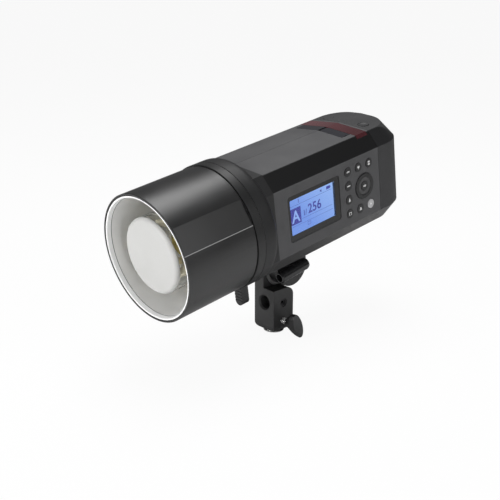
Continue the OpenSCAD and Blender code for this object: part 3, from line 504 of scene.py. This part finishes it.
screen = Finish("display backlight", (0.0, 0.0, 0.0), (0.01, 0.01, 0.01), (0.4, 0.5), pit_height=0)
sx, sy, sz = screen.head_axes()
glow = screen.tree.nodes.new("ShaderNodeMix")
glow.data_type = "RGBA"
glow.inputs[6].default_value = (0.20, 0.34, 0.82, 1)
glow.inputs[7].default_value = (0.32, 0.50, 0.93, 1)
screen.link(screen.stretch(screen.math("ADD", sy, sz), 0.085, 0.155, 0.0, 1.0), glow.inputs[0])
screen.link(glow.outputs[2], screen.shader.inputs["Emission Color"])
screen.shader.inputs["Emission Strength"].default_value = 0.9
screen.on("display_module")

ink = Finish("display ink", (0.020, 0.022, 0.13), (0.030, 0.034, 0.17), (0.5, 0.6), pit_height=0)
ink.shader.inputs["Emission Color"].default_value = (0.035, 0.04, 0.30, 1)
ink.shader.inputs["Emission Strength"].default_value = 0.55
pale = Finish("display pale", (0.0, 0.0, 0.0), (0.01, 0.01, 0.01), (0.4, 0.5), pit_height=0)
pale.shader.inputs["Emission Color"].default_value = (0.26, 0.42, 0.88, 1)
pale.shader.inputs["Emission Strength"].default_value = 0.9
screen_top = (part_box("display_module")[1].x) * 1000


def panel_words(name, text, y, z, height, finish, lift, narrow=1.0, body="head"):
    """Text as a flat mesh on the panel side, read from +X: its baseline centre at head (y, z) mm,
    letters this high, lifted along X by lift mm from the display's face."""
    curve = bpy.data.curves.new(name, "FONT")
    curve.body = text
    curve.size = 1.0
    curve.resolution_u = 3
    curve.offset = 0.018
    flat = bpy.data.objects.new(name + "_flat", curve)
    scene.collection.objects.link(flat)
    bpy.context.view_layer.update()
    mesh = bpy.data.meshes.new_from_object(flat.evaluated_get(bpy.context.evaluated_depsgraph_get()))
    bpy.data.objects.remove(flat)
    letters = np.zeros(len(mesh.vertices) * 3)
    mesh.vertices.foreach_get("co", letters)
    letters = letters.reshape(-1, 3)
    across, up = letters[:, 0], letters[:, 1]
    scale = height / (up.max() - up.min())
    across = (across - (across.max() + across.min()) / 2) * scale * narrow
    up = (up - up.min()) * scale
    points = in_row(np.stack([np.full_like(across, screen_top + lift), y + across, z + up], -1))
    mesh.vertices.foreach_set("co", points.ravel())
    mesh.materials.clear()
    mesh.materials.append(finish)
    mesh.update()
    piece = bpy.data.objects.new(name, mesh)
    scene.collection.objects.link(piece)
    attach(piece, body)
    return piece


def panel_shapes(name, outlines, finish, x, body="head"):
    """Flat polygons on the panel side at head X = x mm, each a list of (y, z) head points in mm,
    listed anticlockwise as read from +X."""
    corners = np.concatenate([np.asarray(o, float) for o in outlines])
    points = in_row(np.column_stack([np.full(len(corners), x), corners]))
    starts = np.cumsum([0] + [len(o) for o in outlines])
    faces = [list(range(starts[i], starts[i + 1])) for i in range(len(outlines))]
    mesh = bpy.data.meshes.new(name)
    mesh.from_pydata(points.tolist(), [], faces)
    mesh.materials.append(finish)
    mesh.update()
    piece = bpy.data.objects.new(name, mesh)
    scene.collection.objects.link(piece)
    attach(piece, body)
    return piece


def bar(y0, y1, z0, z1):
    return [(y0, z0), (y1, z0), (y1, z1), (y0, z1)]


screen_y, screen_z = 101.8, 2.0
left, right = screen_y - 35.2, screen_y + 35.2
low, high = screen_z - 20.0, screen_z + 20.0
rules = [bar(left + 1, right - 1, high - 8.2, high - 7.85),
         bar(left + 19, right - 1, low + 12.6, low + 12.95),
         bar(left + 1, right - 1, low + 7.2, low + 7.5),
         bar(left + 1, left + 17.5, low + 9.5, high - 11.0)]
battery = [bar(right - 9.5, right - 3.2, high - 6.2, high - 2.6), bar(right - 3.0, right - 2.2, high - 5.2, high - 3.6)]
arrow = [[(right - 20.5, high - 4.4), (right - 17.5, high - 6.2), (right - 17.5, high - 2.6)]]
frame_sign = [bar(left + 27, left + 32, low + 2.2, low + 2.6), bar(left + 27, left + 32, low + 5.6, low + 6.0),
              bar(left + 27, left + 27.4, low + 2.6, low + 5.6), bar(left + 31.6, left + 32, low + 2.6, low + 5.6)]
panel_shapes("display_rules", rules + battery + arrow + frame_sign, ink.material, screen_top + 0.04)
panel_words("display_power", "256", left + 40, low + 15.2, 11.6, ink.material, 0.04, 0.95)
panel_words("display_fraction", "1/", left + 24.6, low + 15.2, 7.0, ink.material, 0.04, 0.8)
panel_words("display_letter", "A", left + 9.2, low + 11.6, 14.6, pale.material, 0.07, 0.9)
panel_words("display_channel", "1", left + 15.0, high - 6.4, 4.6, ink.material, 0.04)

# Membrane-free round keys with a moulded white sign on each, and the grooved dial
Finish("key rubber", (0.012, 0.012, 0.013), (0.018, 0.018, 0.019), (0.36, 0.46), pit_height=0.00001).on(
    "key_top_left", "key_top_middle", "key_top_right", "key_left_upper",
    "key_left_lower", "key_bottom_left", "key_bottom_middle", "set_key")
Finish("pale key", (0.40, 0.40, 0.41), (0.52, 0.52, 0.53), (0.3, 0.4), pit_height=0.00001).on("test_key")

dial = Finish("dial rubber", (0.010, 0.010, 0.011), (0.015, 0.015, 0.016), (0.42, 0.5), pit_height=0.00002)
dx, dy, dz = dial.head_axes()
from_hub_y = dial.math("SUBTRACT", dy, 0.1893)
from_hub_z = dial.math("SUBTRACT", dz, 0.0006)
hub_distance = dial.math("POWER", dial.math("ADD", dial.math("MULTIPLY", from_hub_y, from_hub_y),
                                            dial.math("MULTIPLY", from_hub_z, from_hub_z)), 0.5)
dial.tint(dial.stretch(hub_distance, 0.0104, 0.0107, 1.0, 0.0), (0.058, 0.058, 0.060))
dial.on("dial_ring")
Finish("encoder plating", (0.45, 0.45, 0.46), (0.6, 0.6, 0.6), (0.25, 0.4), metallic=1.0, pit_height=0).on(
    "dial_encoder", "port_block")
Finish("circuit board", (0.012, 0.075, 0.035), (0.02, 0.11, 0.05), (0.35, 0.5), patches_per_m=90).on(
    "control_board", "sensor_board", "main_board", "charger_board")

sign_white = Finish("sign white", (0.72, 0.72, 0.72), (0.82, 0.82, 0.82), (0.5, 0.6), pit_height=0)
sign_dark = Finish("sign grey", (0.90, 0.90, 0.90), (0.95, 0.95, 0.95), (0.5, 0.6), pit_height=0)
key_x = (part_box("key_top_left")[1].x) * 1000 + 0.03


def key_at(column, row):
    """Centre of a key in head (y, z) mm: columns run back, rows run down."""
    return 161.7 + 18.6 * column, 26.6 - 17.4 * row


def moved(outline, centre, size=1.0):
    return [(centre[0] + a * size, centre[1] + b * size) for a, b in outline]


pill = bar(-2.6, 2.6, -0.75, 0.75)
notched = [(-2.6, 0.0), (-0.6, -1.6), (-0.6, 1.6)]
drop = [(-2.2, 1.0), (0.0, -2.4), (2.2, 1.0), (1.2, 2.0), (0.0, 1.2), (-1.2, 2.0)]
stack = [bar(-1.8, 1.8, 0.5, 2.6), bar(-1.8, 1.8, -2.6, -0.4)]
lamp_sign = [[(-1.8, -2.2), (1.8, -2.2), (0.4, 2.2), (-0.4, 2.2)]]
loop = [bar(-2.2, 2.2, 1.2, 1.9), bar(-2.2, -1.5, -1.9, 1.2), bar(1.5, 2.2, -1.9, 1.2), bar(-2.2, 2.2, -2.2, -1.9)]
bell = [bar(-2.3, 2.3, -1.9, -1.2), [(-1.6, -1.2), (1.6, -1.2), (1.0, 1.8), (-1.0, 1.8)]]
signs = {
    "key_top_left": (key_at(0, 0), [pill, notched]), "key_top_middle": (key_at(1, 0), [drop]),
    "key_top_right": (key_at(2, 0), stack), "key_left_upper": (key_at(0, 1), [pill]),
    "key_left_lower": (key_at(0, 2), lamp_sign), "key_bottom_left": (key_at(0, 3), loop),
    "key_bottom_middle": (key_at(1, 3), bell),
}
for key, (centre, outlines) in signs.items():
    panel_shapes(key + "_sign", [moved(o, centre, 0.95) for o in outlines], sign_white.material,
                 key_x, key + "_body")
bolt_sign = [[(0.8, 2.8), (-1.8, -0.4), (-0.1, -0.4)], [(-0.8, -2.8), (1.8, 0.4), (0.1, 0.4)]]
panel_shapes("test_key_sign", [moved(o, key_at(2, 3), 0.9) for o in bolt_sign], sign_dark.material,
             key_x, "test_key_body")
set_x = (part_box("set_key")[1].x) * 1000 + 0.03
panel_shapes("set_key_sign", [moved(o, (189.3, 0.6)) for o in (bar(-2.4, 1.0, -0.8, 0.8),
             [(0.4, -2.0), (2.8, 0.0), (0.4, 2.0)])], sign_white.material,
             set_x, "set_key_body")

# ---------------------------------------------------------------------------
# Roof inserts. A glossy strip over the ports and sensor, and behind it a dark
# red window for infrared, dyed through and polished; painted sheen turns it pink towards the far side.
# ---------------------------------------------------------------------------
Finish("strip gloss", (0.016, 0.016, 0.021), (0.024, 0.024, 0.030), (0.22, 0.3), pit_height=0,
       specular=0.4).on("sensor_trim", "port_flap")
red = Finish("infrared window", (0.045, 0.008, 0.011), (0.060, 0.011, 0.015), (0.22, 0.3), pit_height=0,
             specular=0.45)
rx, ry, rz = red.head_axes()
# Painted sheen: pinkish towards the window's far side (-X), fading to the plain dark red at the near side.
red.tint(red.stretch(rx, -0.035, 0.035, 0.8, 0.0), (0.12, 0.045, 0.052))
red.on("red_window")
Finish("button moulding", (0.030, 0.030, 0.032), (0.040, 0.040, 0.042), (0.4, 0.5)).on(
    "release_button", "level_button")
Finish("light pipe", (0.10, 0.10, 0.10), (0.16, 0.16, 0.16), (0.2, 0.3), pit_height=0).on("level_lights")

# ---------------------------------------------------------------------------
# Stand bracket. A powder-coated die casting that takes the stand's spigot,
# with a bright bush, a long gloss clamp bar and a wing screw to hold it.
# ---------------------------------------------------------------------------
Finish("casting powder coat", (0.017, 0.017, 0.0175), (0.025, 0.025, 0.0255), (0.40, 0.52),
       pits_per_m=2000, pit_height=0.00006).on("stand_block")
Finish("mount powder coat", (0.012, 0.012, 0.0125), (0.018, 0.018, 0.0185), (0.36, 0.46),
       pits_per_m=2000, pit_height=0.00004).on("tilt_mount")
Finish("turned steel", (0.55, 0.55, 0.55), (0.72, 0.72, 0.71), (0.16, 0.3), metallic=1.0,
       pits_per_m=5000, pit_height=0.000008).on("stand_bush", "flap_pin", "lever_pin")
Finish("washer fibre", (0.10, 0.10, 0.10), (0.40, 0.40, 0.40), (0.3, 0.4), metallic=0.6).on("rosette_washer")
Finish("bar gloss", (0.008, 0.008, 0.009), (0.011, 0.011, 0.012), (0.15, 0.21), pit_height=0,
       specular=0.6).on("tilt_handle")
Finish("lever gloss", (0.007, 0.007, 0.008), (0.010, 0.010, 0.011), (0.2, 0.28), pit_height=0).on("release_lever")
wing = Finish("wing moulding", (0.010, 0.010, 0.0105), (0.014, 0.014, 0.0145), (0.32, 0.42))
wing_face = wing.tree.nodes.new("ShaderNodeSeparateXYZ")
wing.link(wing.place.outputs["Object"], wing_face.inputs[0])
# Painted highlight: the wing's outer end, from 41.2 mm out along X, is painted lighter.
wing.tint(wing.stretch(wing_face.outputs["X"], 0.0412, 0.0422, 0.0, 1.0), (0.034, 0.034, 0.035))

# Wing: an oval section whose half width and half height are carried along X, then leant forward
wing_height, wing_lean = 16.0, math.radians(20)
wing_x = np.array([24.55, 24.6, 27.0, 27.6, 28.6, 30.4, 33.0, 36.5, 40.0, 41.6, 42.2, 42.45, 42.45])
half_wide = np.array([0.02, 6.1, 6.1, 6.0, 5.9, 6.2, 6.6, 6.85, 7.0, 7.0, 6.7, 6.0, 0.02])
half_tall = np.array([0.02, 6.1, 6.1, 6.6, 8.6, 11.6, 14.4, 16.2, 16.9, 16.9, 16.5, 15.8, 0.02])
round_a = np.linspace(0, 2 * np.pi, 72, endpoint=False)[None, :]
wide = half_wide[:, None] * np.cos(round_a)
tall = half_tall[:, None] * np.sin(round_a)
wing_points = np.stack([wing_x[:, None] + 0 * round_a,
                        wide * math.cos(wing_lean) - tall * math.sin(wing_lean),
                        wing_height + wide * math.sin(wing_lean) + tall * math.cos(wing_lean)], -1) / 1000
wing_piece = grid_piece("wing_handle", wing_points, wing.material, "wing", True)
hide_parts("wing_knob")

# Screw thread: radius = mean + depth cos(2 pi x / pitch - angle), a wave wound round the shank
thread_r, thread_depth, pitch = 3.72, 0.26, 1.5
thread_x = np.linspace(8.6, 28.9, 330)[:, None]
thread_a = np.linspace(0, 2 * np.pi, 32, endpoint=False)[None, :]
ends = np.clip(np.minimum(thread_x - 8.6, 28.9 - thread_x) / 0.6, 0, 1)
thread_radius = (thread_r + thread_depth * np.cos(2 * np.pi * thread_x / pitch - thread_a)) * (0.85 + 0.15 * ends)
thread_radius[[0, -1]] = 0.01
thread = np.stack([thread_x + 0 * thread_a, thread_radius * np.cos(thread_a),
                   wing_height + thread_radius * np.sin(thread_a)], -1) / 1000
thread_finish = Finish("bright thread", (0.62, 0.62, 0.62), (0.78, 0.78, 0.77), (0.14, 0.24), metallic=1.0,
                       pit_height=0)
thread_piece = grid_piece("wing_thread", thread, thread_finish.material, "wing", True)
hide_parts("wing_screw")

# ---------------------------------------------------------------------------
# Inner pieces. Sleeved capacitors, wrapped cells and the lamp's heat sink,
# seen only when the flap or the battery is off.
# ---------------------------------------------------------------------------
Finish("capacitor sleeve", (0.012, 0.016, 0.030), (0.018, 0.024, 0.042), (0.25, 0.35), pit_height=0).on("capacitors")
Finish("cell wrap", (0.02, 0.07, 0.16), (0.03, 0.09, 0.20), (0.3, 0.4), pit_height=0).on("battery_cells")
Finish("extruded aluminium", (0.5, 0.5, 0.51), (0.62, 0.62, 0.62), (0.3, 0.45), metallic=1.0).on("heat_sink")
